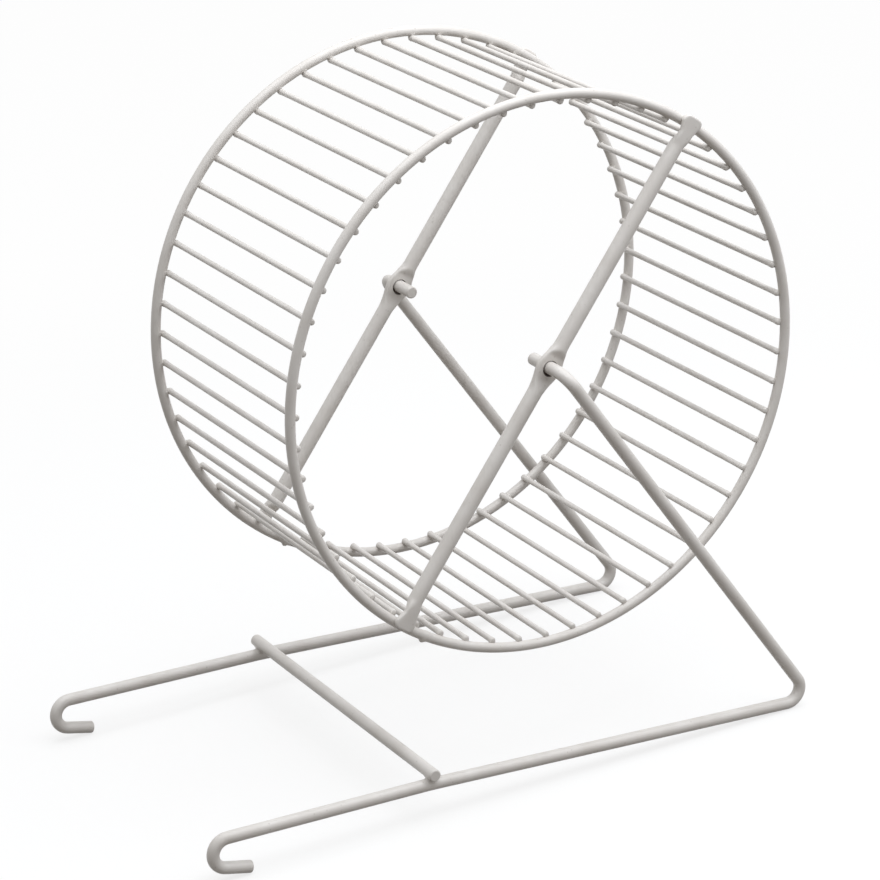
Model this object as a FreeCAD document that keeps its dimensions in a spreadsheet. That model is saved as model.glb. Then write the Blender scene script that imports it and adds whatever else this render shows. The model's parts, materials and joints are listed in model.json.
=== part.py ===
"""Rodent exercise wheel: a welded wire wheel that turns on the two stub axles of a bent-wire stand.

The wheel is two hoops joined by straight rungs. A rod lies across the face of each hoop, pressed flat
where it is welded on and pressed flat and pierced at its middle, where the stub axle goes through.
The stand is two side wires, each one bent piece from its hook to its stub axle, and a crossbar.

+X runs along the base rails to the feet, +Y from the front to the rear and +Z up.
The origin is on the ground under the middle of the whole object.
"""
import FreeCAD
import Part
import math
import os

import Sketcher
from FreeCAD import Placement, Rotation, Vector

FRONT, REAR = -1, 1

# Driving sizes, in millimetres and degrees
SIZES = [
    # Wheel
    ("wheel_diameter", 140.0, "over the outside of the hoops"),
    ("hoop_spacing", 71.6, "between the centre planes of the hoops"),
    ("hoop_wire", 2.5, "diameter of the hoops' wire"),
    ("hoop_drop", 2.4, "centre of the hoops below the eyes, because the spoke bars are off centre"),
    ("rung_count", 55, "rungs round the tread"),
    ("rung_wire", 1.5, "diameter of a rung"),
    ("rung_turn", -0.55, "angle of the first rung from the slope of the spoke bars"),
    ("rung_inset", 1.1, "end of a rung inside the outer face of a hoop"),
    ("weld_set", 0.25, "depth to which a rung is pressed into a hoop as it is welded on"),
    ("weld_gap", 0.02, "gap between pieces that are welded together"),
    # Spoke bars
    ("bar_wire", 3.7, "diameter of a spoke bar"),
    ("bar_angle", 52.2, "slope of the spoke bars as the wheel stands"),
    ("bar_overhang", 0.1, "each half of a spoke bar past half of the wheel's diameter"),
    ("eye_offset", 1.3, "eye's hole from the middle of its bar, towards the bar's upper end"),
    ("press_thickness", 1.6, "thickness of the pressed flats"),
    ("running_clearance", 0.4, "radius of the eye's hole past the radius of the axle"),
    ("eye_sag", 0.25, "centre of the eye's hole below the axle's, because the wheel hangs on it"),
    ("eye_wall", 1.45, "metal beside the eye's hole"),
    ("eye_length", 15.2, "length of the eye's outline along the bar"),
    ("eye_margin", 1.0, "flat past the eye's hole, up to the ramp"),
    ("eye_ramp", 2.6, "length of the ramp from the eye to the round rod"),
    ("spade_width", 5.7, "widest part of a spade"),
    ("spade_tip", 2.0, "length of the rounded tip of a spade"),
    ("spade_taper", 7.7, "length of a spade from its point to its widest part"),
    ("spade_corner", 0.8, "rounding of a spade's widest corners"),
    ("spade_margin", 0.25, "flat past the rungs, up to the ramp"),
    ("spade_ramp", 2.5, "length of the ramp from a spade to the round rod"),
    # Stand
    ("stand_wire", 3.1, "diameter of the side wires and the crossbar"),
    ("track_width", 90.0, "between the centre planes of the side wires"),
    ("axle_height", 97.85, "axle above the centre line of the foot end of a rail"),
    ("axle_reach", 15.5, "end of a stub axle from its side wire's centre plane"),
    ("axle_bend", 4.5, "centre-line radius of the bend from a leg to its stub axle"),
    ("leg_angle", 52.0, "slope of a leg from its rail"),
    ("foot_bend", 3.8, "centre-line radius of the bend from a rail to its leg"),
    ("crossbar_setback", 35.2, "crossbar from the axle, along the rails"),
    ("crossbar_overhang", 1.0, "end of the crossbar past the outside of a rail"),
    ("rail_drop", 2.0, "downward set of the hook end of a rail"),
    ("rail_bend", 100.0, "centre-line radius of that set"),
    ("hook_reach", 93.3, "furthest point of a hook's centre line from the axle, along the rails"),
    ("hook_bend", 3.85, "centre-line radius of a hook"),
    ("hook_arm", 6.9, "straight end of a hook"),
    ("hook_flare", 10.0, "downward slope of the end of a hook"),
]

doc = FreeCAD.newDocument("ExerciseWheel")
sheet = doc.addObject("Spreadsheet::Sheet", "Sizes")
for row, (alias, value, meaning) in enumerate(SIZES, start=1):
    sheet.set(f"A{row}", str(value))
    sheet.setAlias(f"A{row}", alias)
    sheet.set(f"B{row}", meaning)
doc.recompute()


def size(alias):
    """One driving size as a number."""
    return float(sheet.get(alias))


def bind(item, **texts):
    """Bind properties of an object to the sheet."""
    for name, text in texts.items():
        item.setExpression(name, text)


# Layout of the stand in its own frame: the axle is the origin and the foot end of the rails is level

def slope(degrees):
    """Unit vector in the XZ plane, at an angle above +X."""
    return Vector(math.cos(math.radians(degrees)), 0, math.sin(math.radians(degrees)))


def hook_layout(set_point):
    """Centre of a hook's bend and the points of the hook, from where it leaves the rail to its tip."""
    along_rail = slope(180 + size("rail_drop"))
    below_rail = slope(size("rail_drop") - 90)
    along_arm = slope(-size("hook_flare"))
    below_arm = slope(-size("hook_flare") - 90)
    bend = size("hook_bend")
    offset = below_rail * bend
    centre_x = bend - size("hook_reach")
    run = (set_point.x + offset.x - centre_x) / -along_rail.x
    start = set_point + along_rail * run
    centre = start + offset
    furthest = centre + (along_rail - along_arm).normalize() * bend
    end = centre + below_arm * bend
    tip = end + along_arm * size("hook_arm")
    ground = tip + below_arm * (size("stand_wire") / 2)
    return centre, [start, furthest, end, tip], ground


def round_corner(before, corner, after, radius):
    """Start, middle and end of the arc that rounds a corner, and the arc's centre."""
    back = (before - corner).normalize()
    ahead = (after - corner).normalize()
    half_angle = back.getAngle(ahead) / 2
    reach = radius / math.tan(half_angle)
    inward = (back + ahead).normalize()
    centre = corner + inward * (radius / math.sin(half_angle))
    return corner + back * reach, centre - inward * radius, corner + ahead * reach, centre


wire_radius = size("stand_wire") / 2
axle_point = Vector(0, 0, 0)
set_point = Vector(-size("crossbar_setback"), 0, -size("axle_height"))
foot_reach = size("axle_height") / math.tan(math.radians(size("leg_angle")))
foot_point = Vector(foot_reach, 0, -size("axle_height"))
hook_centre, hook_points, hook_ground = hook_layout(set_point)
foot_centre = round_corner(set_point, foot_point, axle_point, size("foot_bend"))[3]

# The stand leans until it rests on the tips of its hooks and the bends of its feet
span = foot_centre - hook_ground
foot_radius = size("foot_bend") + wire_radius
lean = math.degrees(math.atan2(span.z, span.x) - math.asin(foot_radius / span.Length))
tilt = Rotation(Vector(0, 1, 0), lean)
hoop_radius = (size("wheel_diameter") - size("hoop_wire")) / 2
left = tilt.multVec(hook_centre).x - size("hook_bend") - wire_radius
foot_right = tilt.multVec(foot_centre).x + foot_radius
right = max(size("wheel_diameter") / 2, foot_right)
ground = tilt.multVec(foot_centre).z - foot_radius
axle = Vector(-(left + right) / 2, 0, -ground)

# The wheel turns about the middle of its eyes
pivot = axle - Vector(0, 0, size("eye_sag"))
hoop_centre = pivot - Vector(0, 0, size("hoop_drop"))
stand_place = Placement(axle, tilt)

# Turns the Z axis of a primitive to +Y
ACROSS = Rotation(Vector(1, 0, 0), -90)


# Wheel

def make_hoop(label, side):
    """Wire ring."""
    hoop = doc.addObject("Part::Torus", label)
    bind(hoop, Radius1="(Sizes.wheel_diameter - Sizes.hoop_wire) / 2", Radius2="Sizes.hoop_wire / 2")
    hoop.Placement = Placement(hoop_centre + Vector(0, side * size("hoop_spacing") / 2, 0), ACROSS)
    return hoop


def make_seats(label):
    """Room that the hoops take from the rungs pressed into them."""
    seats = doc.addObject("Part::Compound", label)
    rings = []
    for name, side in (("front", FRONT), ("rear", REAR)):
        ring = make_hoop(f"{label}_{name}", side)
        bind(ring, Radius2="Sizes.hoop_wire / 2 + Sizes.weld_gap")
        rings.append(ring)
    seats.Links = rings
    return seats


rung_seats = make_seats("rung_seats")
rung_circle = hoop_radius - (size("hoop_wire") + size("rung_wire")) / 2 + size("weld_set")


def make_rung(label, number):
    """Straight wire, pressed into the inside of both hoops. It ends short of the spades."""
    wire = doc.addObject("Part::Cylinder", f"{label}_wire")
    bind(wire, Radius="Sizes.rung_wire / 2")
    bind(wire, Height="Sizes.hoop_spacing + Sizes.hoop_wire - 2 * Sizes.rung_inset")
    doc.recompute([wire])
    turn = size("bar_angle") + size("rung_turn") + 360 * number / size("rung_count")
    centre = hoop_centre + slope(turn) * rung_circle
    wire.Placement = Placement(centre - Vector(0, wire.Height.Value / 2, 0), ACROSS)
    rung = doc.addObject("Part::Cut", label)
    rung.Base = wire
    rung.Tool = rung_seats
    return rung


def make_rung_pair(label, numbers):
    """Two rungs that stand either side of an end of each spoke bar."""
    pair = doc.addObject("Part::Compound", label)
    pair.Links = [make_rung(f"{label}_{number:02d}", number) for number in numbers]
    return pair


# Spoke bars, drawn along X from the eye, with the upper end towards +X and the outer side towards +Z

UPPER, LOWER = 1, -1
EYE_HOLE = "(Sizes.stand_wire / 2 + Sizes.running_clearance)"
EYE_FACE = "(Sizes.press_thickness / 2)"
EYE_DEPTH = "(Sizes.bar_wire / 2 - Sizes.press_thickness / 2)"
SPADE_FLOOR = "(Sizes.bar_wire / 2 - Sizes.press_thickness)"
SPADE_DEPTH = "(Sizes.bar_wire - Sizes.press_thickness)"
BAR_HALF = "Sizes.wheel_diameter / 2 + Sizes.bar_overhang"
BAR_END = {UPPER: f"({BAR_HALF} - Sizes.eye_offset)", LOWER: f"({BAR_HALF} + Sizes.eye_offset)"}
RUNG_RADIUS = "Sizes.wheel_diameter / 2 - Sizes.hoop_wire - Sizes.rung_wire + Sizes.weld_set"
HOOP_ALONG = "Sizes.hoop_drop * sin(Sizes.bar_angle)"
RUNG_INSIDE = {UPPER: f"({RUNG_RADIUS} - {HOOP_ALONG})", LOWER: f"({RUNG_RADIUS} + {HOOP_ALONG})"}


def sketch_on(body, name, role):
    """Sketch on one of the body's own planes."""
    sketch = body.newObject("Sketcher::SketchObject", name)
    plane = next(item for item in body.Origin.OriginFeatures if item.Role == role)
    sketch.AttachmentSupport = [(plane, "")]
    sketch.MapMode = "FlatFace"
    return sketch


def dimension(sketch, curve, end, across, up):
    """Dimension one end of a curve from the origin. Each of the two is (sign, text), or None on the axis."""
    drawn = sketch.getPoint(curve, end)
    ways = (("DistanceX", -2, drawn.x, across), ("DistanceY", -1, drawn.y, up))
    for kind, axis, value, (sign, text) in ways:
        if text is None:
            sketch.addConstraint(Sketcher.Constraint("PointOnObject", curve, end, axis))
            continue
        ends = (-1, 1, curve, end) if sign > 0 else (curve, end, -1, 1)
        index = sketch.addConstraint(Sketcher.Constraint(kind, *ends, sign * value))
        sketch.setExpression(f"Constraints[{index}]", text)


ON_AXIS = (0, None)


def draw_polygon(sketch, corners):
    """Closed outline of straight edges through dimensioned corners."""
    count = len(corners)
    turns = [2 * math.pi * i / count for i in range(count)]
    rough = [Vector(math.cos(turn), math.sin(turn), 0) for turn in turns]
    sides = [Part.LineSegment(rough[i], rough[(i + 1) % count]) for i in range(count)]
    lines = [sketch.addGeometry(side) for side in sides]
    for i, line in enumerate(lines):
        sketch.addConstraint(Sketcher.Constraint("Coincident", line, 2, lines[(i + 1) % count], 1))
    for line, (across, up) in zip(lines, corners):
        dimension(sketch, line, 1, across, up)


def draw_circle(sketch, radius):
    """Circle about the origin."""
    circle = sketch.addGeometry(Part.Circle(Vector(0, 0, 0), Vector(0, 0, 1), 1.0))
    sketch.addConstraint(Sketcher.Constraint("Coincident", circle, 3, -1, 1))
    index = sketch.addConstraint(Sketcher.Constraint("Radius", circle, 1.0))
    sketch.setExpression(f"Constraints[{index}]", radius)


def draw_eye(sketch):
    """Pointed oval of two arcs."""
    half_length = size("eye_length") / 2
    half_width = size("stand_wire") / 2 + size("running_clearance") + size("eye_wall")
    arcs = []
    for side in (1, -1):
        first, last = Vector(side * half_length, 0, 0), Vector(-side * half_length, 0, 0)
        arcs.append(sketch.addGeometry(Part.Arc(first, Vector(0, side * half_width, 0), last)))
    upper, lower = arcs
    sketch.addConstraint(Sketcher.Constraint("Coincident", upper, 2, lower, 1))
    sketch.addConstraint(Sketcher.Constraint("Coincident", lower, 2, upper, 1))
    dimension(sketch, upper, 1, (1, "Sizes.eye_length / 2"), ON_AXIS)
    dimension(sketch, upper, 2, (-1, "Sizes.eye_length / 2"), ON_AXIS)
    wide = f"({EYE_HOLE} + Sizes.eye_wall)"
    radius = f"(Sizes.eye_length ^ 2 / 4 + {wide} ^ 2) / (2 * {wide})"
    for arc in arcs:
        index = sketch.addConstraint(Sketcher.Constraint("Radius", arc, sketch.Geometry[arc].Radius))
        sketch.setExpression(f"Constraints[{index}]", radius)


def draw_spade(sketch, sign):
    """Tapered spade with a round tip, at one end of the bar."""
    end = size("wheel_diameter") / 2 + size("bar_overhang") - sign * size("eye_offset")
    wide_x = sign * (end - size("spade_tip"))
    wide_y = size("spade_width") / 2
    point = Vector(wide_x - sign * size("spade_taper"), 0, 0)
    first = Vector(wide_x, -sign * wide_y, 0)
    last = Vector(wide_x, sign * wide_y, 0)
    side_in = sketch.addGeometry(Part.LineSegment(point, first))
    tip = sketch.addGeometry(Part.Arc(first, Vector(sign * end, 0, 0), last))
    side_out = sketch.addGeometry(Part.LineSegment(last, point))
    for before, after in ((side_in, tip), (tip, side_out), (side_out, side_in)):
        sketch.addConstraint(Sketcher.Constraint("Coincident", before, 2, after, 1))
    widest = (sign, f"{BAR_END[sign]} - Sizes.spade_tip")
    narrowest = (sign, f"{BAR_END[sign]} - Sizes.spade_tip - Sizes.spade_taper")
    dimension(sketch, side_in, 1, narrowest, ON_AXIS)
    dimension(sketch, side_in, 2, widest, (-sign, "Sizes.spade_width / 2"))
    dimension(sketch, side_out, 1, widest, (sign, "Sizes.spade_width / 2"))
    index = sketch.addConstraint(Sketcher.Constraint("Radius", tip, sketch.Geometry[tip].Radius))
    radius = "(Sizes.spade_width ^ 2 / 4 + Sizes.spade_tip ^ 2) / (2 * Sizes.spade_tip)"
    sketch.setExpression(f"Constraints[{index}]", radius)


def draw_press(sketch):
    """Side view of what the press pushes away on both sides of the eye and under both spades."""
    flat = f"{EYE_HOLE} + Sizes.eye_margin"
    foot = f"{flat} + Sizes.eye_ramp * (Sizes.bar_wire - {EYE_FACE}) / {EYE_DEPTH}"
    for side in (1, -1):
        face, clear = (side, EYE_FACE), (side, "Sizes.bar_wire")
        draw_polygon(sketch, [((-1, flat), face), ((1, flat), face), ((1, foot), clear), ((-1, foot), clear)])
    floor, below = (1, SPADE_FLOOR), (-1, "Sizes.bar_wire")
    for sign in (UPPER, LOWER):
        flat = f"{RUNG_INSIDE[sign]} - Sizes.spade_margin"
        foot = f"{flat} - Sizes.spade_ramp * ({SPADE_FLOOR} + Sizes.bar_wire) / {SPADE_DEPTH}"
        end = (sign, BAR_END[sign])
        draw_polygon(sketch, [((sign, flat), floor), (end, floor), (end, below), ((sign, foot), below)])


def make_spoke_bar(label, side):
    """Rod across the face of a hoop, pressed flat at both ends and at the pierced eye."""
    body = doc.addObject("PartDesign::Body", label)

    section = sketch_on(body, f"{label}_section", "YZ_Plane")
    draw_circle(section, "Sizes.bar_wire / 2")
    rod = body.newObject("PartDesign::Pad", f"{label}_rod")
    rod.Profile = section
    rod.SideType = "Two sides"
    bind(rod, Length=f"{BAR_END[UPPER]} - Sizes.spade_tip", Length2=f"{BAR_END[LOWER]} - Sizes.spade_tip")

    profile = sketch_on(body, f"{label}_press_profile", "XZ_Plane")
    draw_press(profile)
    press = body.newObject("PartDesign::Pocket", f"{label}_press")
    press.Profile = profile
    press.Type = "ThroughAll"
    press.SideType = "Symmetric"

    oval = sketch_on(body, f"{label}_eye_outline", "XY_Plane")
    draw_eye(oval)
    eye = body.newObject("PartDesign::Pad", f"{label}_eye")
    eye.Profile = oval
    eye.SideType = "Symmetric"
    bind(eye, Length="Sizes.press_thickness")

    outline = sketch_on(body, f"{label}_spade_outline", "XY_Plane")
    bind(outline, **{"AttachmentOffset.Base.z": SPADE_FLOOR})
    draw_spade(outline, UPPER)
    draw_spade(outline, LOWER)
    spades = body.newObject("PartDesign::Pad", f"{label}_spades")
    spades.Profile = outline
    bind(spades, Length="Sizes.press_thickness")

    bore = sketch_on(body, f"{label}_eye_circle", "XY_Plane")
    draw_circle(bore, EYE_HOLE)
    hole = body.newObject("PartDesign::Pocket", f"{label}_eye_hole")
    hole.Profile = bore
    hole.Type = "ThroughAll"
    hole.SideType = "Symmetric"
    doc.recompute()
    corners = [f"Edge{i}" for i, edge in enumerate(hole.Shape.Edges, start=1) if is_spade_corner(edge)]

    rounding = body.newObject("PartDesign::Fillet", f"{label}_spade_corners")
    rounding.Base = (hole, corners)
    bind(rounding, Radius="Sizes.spade_corner")
    body.Tip = rounding

    floor = size("bar_wire") / 2 - size("press_thickness")
    outer_face = (size("hoop_spacing") + size("hoop_wire")) / 2
    rod_line = outer_face + size("weld_gap") - floor
    along = slope(size("bar_angle"))
    outward = Vector(0, side, 0)
    turned = Rotation(along, outward.cross(along), outward, "XZY")
    body.Placement = Placement(pivot + outward * rod_line, turned)
    return body


def is_spade_corner(edge):
    """True for the upright edges at the widest part of a spade."""
    first, last = edge.Vertexes[0].Point, edge.Vertexes[-1].Point
    upright = Vector(first.x, first.y, 0).isEqual(Vector(last.x, last.y, 0), 1e-6)
    return upright and edge.Length > 1e-6 and abs(first.x) > hoop_radius / 2


# Stand

def make_side_wire(label, side):
    """One bent wire: hook, rail, foot, leg and stub axle."""
    plane = Vector(0, side * size("track_width") / 2, 0)
    start, furthest, end, tip = [point + plane for point in hook_points]
    corners = [set_point + plane, foot_point + plane, axle_point + plane]
    axle_end = axle_point + plane - Vector(0, side * size("axle_reach"), 0)
    bends = (size("rail_bend"), size("foot_bend"), size("axle_bend"))
    edges = [Part.LineSegment(tip, end), Part.Arc(end, furthest, start)]
    here = start
    for i, (corner, bend) in enumerate(zip(corners, bends)):
        after = corners[i + 1] if i + 1 < len(corners) else axle_end
        bend_start, bend_middle, bend_end, _ = round_corner(here, corner, after, bend)
        edges += [Part.LineSegment(here, bend_start), Part.Arc(bend_start, bend_middle, bend_end)]
        here = bend_end
    edges.append(Part.LineSegment(here, axle_end))

    path = doc.addObject("Part::Feature", f"{label}_path")
    path.Shape = Part.Wire([edge.toShape() for edge in edges])
    path.Placement = stand_place
    section = doc.addObject("Part::Circle", f"{label}_section")
    bind(section, Radius="Sizes.stand_wire / 2")
    section.Placement = stand_place * Placement(tip, Rotation(Vector(0, 0, 1), end - tip))
    wire = doc.addObject("Part::Sweep", label)
    wire.Sections = [section]
    wire.Spine = (path, [f"Edge{i + 1}" for i in range(len(edges))])
    wire.Solid = True
    return wire


def make_crossbar(label):
    """Straight wire on top of both rails, where they are set downward."""
    lift = size("stand_wire") + size("weld_gap")
    up = slope(90 + size("rail_drop") / 2)
    bar = doc.addObject("Part::Cylinder", label)
    bind(bar, Radius="Sizes.stand_wire / 2")
    bind(bar, Height="Sizes.track_width + Sizes.stand_wire + 2 * Sizes.crossbar_overhang")
    doc.recompute([bar])
    centre = set_point + up * lift
    bar.Placement = stand_place * Placement(centre - Vector(0, bar.Height.Value / 2, 0), ACROSS)
    return bar


# The whole object

nodes = [
    make_hoop("front_hoop", FRONT),
    make_hoop("rear_hoop", REAR),
    make_spoke_bar("front_spoke_bar", FRONT),
    make_spoke_bar("rear_spoke_bar", REAR),
    make_side_wire("front_side_wire", FRONT),
    make_side_wire("rear_side_wire", REAR),
    make_crossbar("base_crossbar"),
]
rung_total = int(size("rung_count"))
pairs = {
    "upper_bar_rungs": (1, rung_total - 1),
    "lower_bar_rungs": (rung_total // 2, rung_total // 2 + 1),
}
paired = [number for numbers in pairs.values() for number in numbers]
nodes += [make_rung_pair(label, numbers) for label, numbers in pairs.items()]
nodes += [make_rung(f"rung_{number:02d}", number) for number in range(rung_total) if number not in paired]
doc.recompute()

for item in doc.Objects:
    if "Invalid" in item.State or "Error" in item.State:
        raise RuntimeError(f"{item.Label} failed: {item.State}")
for node in nodes:
    if node.Shape.isNull() or not node.Shape.isValid():
        raise RuntimeError(f"{node.Label} has no valid shape")

os.makedirs("parts", exist_ok=True)
for node in nodes:
    node.Shape.exportStep(f"parts/{node.Label}.step")
print(f"{len(nodes)} pieces, lean {lean:.2f} degrees, wheel turns about {pivot.x:.2f}, {pivot.z:.2f}")
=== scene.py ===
"""Looks of the rodent exercise wheel: coated wire, bridged welds and a plain studio, on its packed CAD frame.

Run as a script, it loads the frame, dresses every wire and sets the stage for the camera.
Lengths are in metres, in the frame of the CAD model.
"""
import json
import math
import random

import bmesh
import bpy
import numpy as np
from mathutils import Matrix, Vector


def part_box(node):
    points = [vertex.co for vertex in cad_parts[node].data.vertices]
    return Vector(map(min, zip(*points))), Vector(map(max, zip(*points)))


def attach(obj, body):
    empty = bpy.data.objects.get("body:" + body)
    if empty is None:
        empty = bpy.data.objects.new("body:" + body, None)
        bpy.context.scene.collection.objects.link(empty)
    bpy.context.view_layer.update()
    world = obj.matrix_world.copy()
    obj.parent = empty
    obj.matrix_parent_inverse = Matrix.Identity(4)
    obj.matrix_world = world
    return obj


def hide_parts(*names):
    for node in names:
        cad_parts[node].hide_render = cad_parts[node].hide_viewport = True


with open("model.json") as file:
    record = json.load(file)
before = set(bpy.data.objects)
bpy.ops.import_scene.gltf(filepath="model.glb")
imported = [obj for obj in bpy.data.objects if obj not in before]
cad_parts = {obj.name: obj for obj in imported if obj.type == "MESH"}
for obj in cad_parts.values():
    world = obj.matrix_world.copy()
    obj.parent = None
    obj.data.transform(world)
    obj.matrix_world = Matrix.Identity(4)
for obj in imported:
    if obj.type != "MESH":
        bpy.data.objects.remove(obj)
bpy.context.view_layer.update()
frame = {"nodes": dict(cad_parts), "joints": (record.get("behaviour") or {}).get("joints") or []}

bl_info = {
    "name": "Exercise Wheel Looks",
    "version": (1, 0, 0),
    "blender": (4, 5, 0),
    "location": "View3D > Sidebar > Exercise Wheel",
    "description": "Dresses the wire exercise wheel with its coat, its welds and a studio",
    "category": "Object",
}

SIDES = {"front": -1, "rear": 1}
ACROSS = Vector((0, 1, 0))
MM = 0.001
# Levels closer together than this are one
HAIR = 0.01 * MM


def linear(text):
    """Linear colour, with alpha, of an sRGB hex value."""
    shares = [int(text[i:i + 2], 16) / 255 for i in (1, 3, 5)]
    return tuple(s / 12.92 if s <= 0.04045 else ((s + 0.055) / 1.055) ** 2.4 for s in shares) + (1.0,)


# Settings that a user would change

class CoatSettings(bpy.types.PropertyGroup):
    """Powder coat on the wire."""
    colour: bpy.props.FloatVectorProperty(
        name="Colour", description="Colour of the coat at its full thickness",
        subtype="COLOR", size=4, min=0, max=1, default=linear("#DEDAD5"))
    thin_colour: bpy.props.FloatVectorProperty(
        name="Thin colour", description="Colour where the coat came out thinner",
        subtype="COLOR", size=4, min=0, max=1, default=linear("#D4CFC9"))
    speck_colour: bpy.props.FloatVectorProperty(
        name="Speck colour", description="Colour of the specks of dust baked into the coat",
        subtype="COLOR", size=4, min=0, max=1, default=linear("#BEB7B0"))
    roughness: bpy.props.FloatProperty(
        name="Roughness", description="Roughness of the satin coat",
        subtype="FACTOR", min=0, max=1, default=0.34)
    mottle_size: bpy.props.FloatProperty(
        name="Mottle size", description="Length of a thinner patch of the coat",
        unit="LENGTH", default=9 * MM)
    peel_size: bpy.props.FloatProperty(
        name="Peel size", description="Width of one ripple of the coat's orange peel",
        unit="LENGTH", default=1.1 * MM)
    peel_depth: bpy.props.FloatProperty(
        name="Peel depth", description="Depth of the orange peel",
        unit="LENGTH", precision=6, default=0.014 * MM)
    speck_spacing: bpy.props.FloatProperty(
        name="Speck spacing", description="Distance between the baked-in specks",
        unit="LENGTH", default=2.2 * MM)


class BearingSettings(bpy.types.PropertyGroup):
    """Rubbed steel in the eyes, darkened to paint the shade in the holes and under the axles."""
    # The grease colour is a painted shade for the holes and the gaps under the axles
    painted_shade_colour: bpy.props.FloatVectorProperty(
        name="Grease colour", description="Colour of the old grease",
        subtype="COLOR", size=4, min=0, max=1, default=linear("#3A2F2A"))
    rubbed_colour: bpy.props.FloatVectorProperty(
        name="Rubbed colour", description="Colour of the steel where it shines through",
        subtype="COLOR", size=4, min=0, max=1, default=linear("#6B615A"))
    # A smear is one patch of the painted shade between patches of rubbed steel
    shade_patch_size: bpy.props.FloatProperty(
        name="Smear size", description="Length of one smear of grease", unit="LENGTH", default=1.2 * MM)
    coat_lining: bpy.props.FloatProperty(
        name="Coat lining", description="Thickness of the coat round the hole's rim",
        unit="LENGTH", precision=6, default=0.1 * MM)


class WireSettings(bpy.types.PropertyGroup):
    """Ends and edges of the wires."""
    tip_swell: bpy.props.FloatProperty(
        name="Tip swell", description="Bead of coat at a rung's end, as a share of the rung's radius",
        subtype="FACTOR", min=0, max=0.3, default=0.1)
    rim_round: bpy.props.FloatProperty(
        name="Rim rounding", description="Rounding of the cut ends of the stand's wires",
        unit="LENGTH", default=0.4 * MM)
    joint_angle: bpy.props.FloatProperty(
        name="Joint angle", description="Place of the closing weld round each hoop, above +X",
        subtype="ANGLE", unit="ROTATION", default=math.radians(238))
    joint_swell: bpy.props.FloatProperty(
        name="Joint swell", description="Height of the ridge at a hoop's closing weld",
        unit="LENGTH", default=0.13 * MM)
    drip_length: bpy.props.FloatProperty(
        name="Drip length", description="Length of the drop of coat that hung from that weld",
        unit="LENGTH", default=0.5 * MM)


class WeldSettings(bpy.types.PropertyGroup):
    """Coat that bridges the welded crossings."""
    rung_fill: bpy.props.FloatProperty(
        name="Rung fill", description="Gap that the coat bridges where a rung lies on a hoop",
        unit="LENGTH", default=0.5 * MM)
    crossbar_fill: bpy.props.FloatProperty(
        name="Crossbar fill", description="Gap that the coat bridges where the crossbar lies on a rail",
        unit="LENGTH", default=1.1 * MM)
    spade_length: bpy.props.FloatProperty(
        name="Spade length", description="Half length of the fillet under a spade, along its hoop",
        unit="LENGTH", default=2.3 * MM)
    unevenness: bpy.props.FloatProperty(
        name="Unevenness", description="How much the fillets and tips differ from each other",
        subtype="FACTOR", min=0, max=1, default=0.22)
    seed: bpy.props.IntProperty(
        name="Seed", description="Start of the random draws", default=7)


class StageSettings(bpy.types.PropertyGroup):
    """Camera, lamps and floor."""
    camera_target: bpy.props.FloatVectorProperty(
        name="Camera target", description="Point in the middle of the camera's view",
        subtype="TRANSLATION", unit="LENGTH", default=(0.00301, -0.00504, 0.07814))
    camera_distance: bpy.props.FloatProperty(
        name="Camera distance", description="Camera from its target", unit="LENGTH", default=0.87870)
    camera_azimuth: bpy.props.FloatProperty(
        name="Camera azimuth", description="Camera's way round from the front, towards +X",
        subtype="ANGLE", unit="ROTATION", default=math.radians(-28.651))
    camera_elevation: bpy.props.FloatProperty(
        name="Camera elevation", description="Camera above the level of its target",
        subtype="ANGLE", unit="ROTATION", default=math.radians(21.531))
    camera_roll: bpy.props.FloatProperty(
        name="Camera roll", description="Turn of the camera about its own axis",
        subtype="ANGLE", unit="ROTATION", default=math.radians(-2.778))
    lens: bpy.props.FloatProperty(
        name="Lens", description="Focal length on a sensor 36 mm wide", unit="CAMERA", default=146.22)
    sky_strength: bpy.props.FloatProperty(
        name="Sky strength", description="Light from all round", min=0, default=0.49)
    key_power: bpy.props.FloatProperty(
        name="Key power", description="Power of the lamp overhead", unit="POWER", min=0, default=2.65)
    key_place: bpy.props.FloatVectorProperty(
        name="Key place", description="Middle of the lamp overhead",
        subtype="TRANSLATION", unit="LENGTH", default=(0.03, -0.05, 0.60))
    key_width: bpy.props.FloatProperty(
        name="Key width", description="Side of the lamp overhead", unit="LENGTH", default=0.6)
    side_power: bpy.props.FloatProperty(
        name="Side power", description="Power of the lamp to the right of the camera", unit="POWER", min=0,
        default=0.7)
    side_place: bpy.props.FloatVectorProperty(
        name="Side place", description="Middle of the lamp to the right of the camera",
        subtype="TRANSLATION", unit="LENGTH", default=(0.25, -0.20, 0.38))
    side_width: bpy.props.FloatProperty(
        name="Side width", description="Side of the lamp to the right of the camera",
        unit="LENGTH", default=0.4)
    lamp_colour: bpy.props.FloatVectorProperty(
        name="Lamp colour", description="Colour of both lamps, a little cool as daylight is",
        subtype="COLOR", size=4, min=0, max=1, default=linear("#F7FAFF"))
    floor_width: bpy.props.FloatProperty(
        name="Floor width", description="Side of the paper on the floor", unit="LENGTH", default=12.0)
    paper_colour: bpy.props.FloatVectorProperty(
        name="Paper colour", description="Colour of the paper",
        subtype="COLOR", size=4, min=0, max=1, default=linear("#FAFAF9"))
    bounce_colour: bpy.props.FloatVectorProperty(
        name="Bounce colour", description="Colour of the paper in the light that it sends back up",
        subtype="COLOR", size=4, min=0, max=1, default=linear("#5C534A"))
    paper_glow: bpy.props.FloatVectorProperty(
        name="Paper glow", description="Share of plain white in the paper by the wheel and far from it",
        size=2, min=0, max=1, default=(0.75, 0.96))
    fade_reach: bpy.props.FloatVectorProperty(
        name="Fade reach", description="Distances from the wheel at which the paper starts and ends its fade",
        size=2, unit="LENGTH", default=(0.12, 0.42))


# Materials

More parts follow.
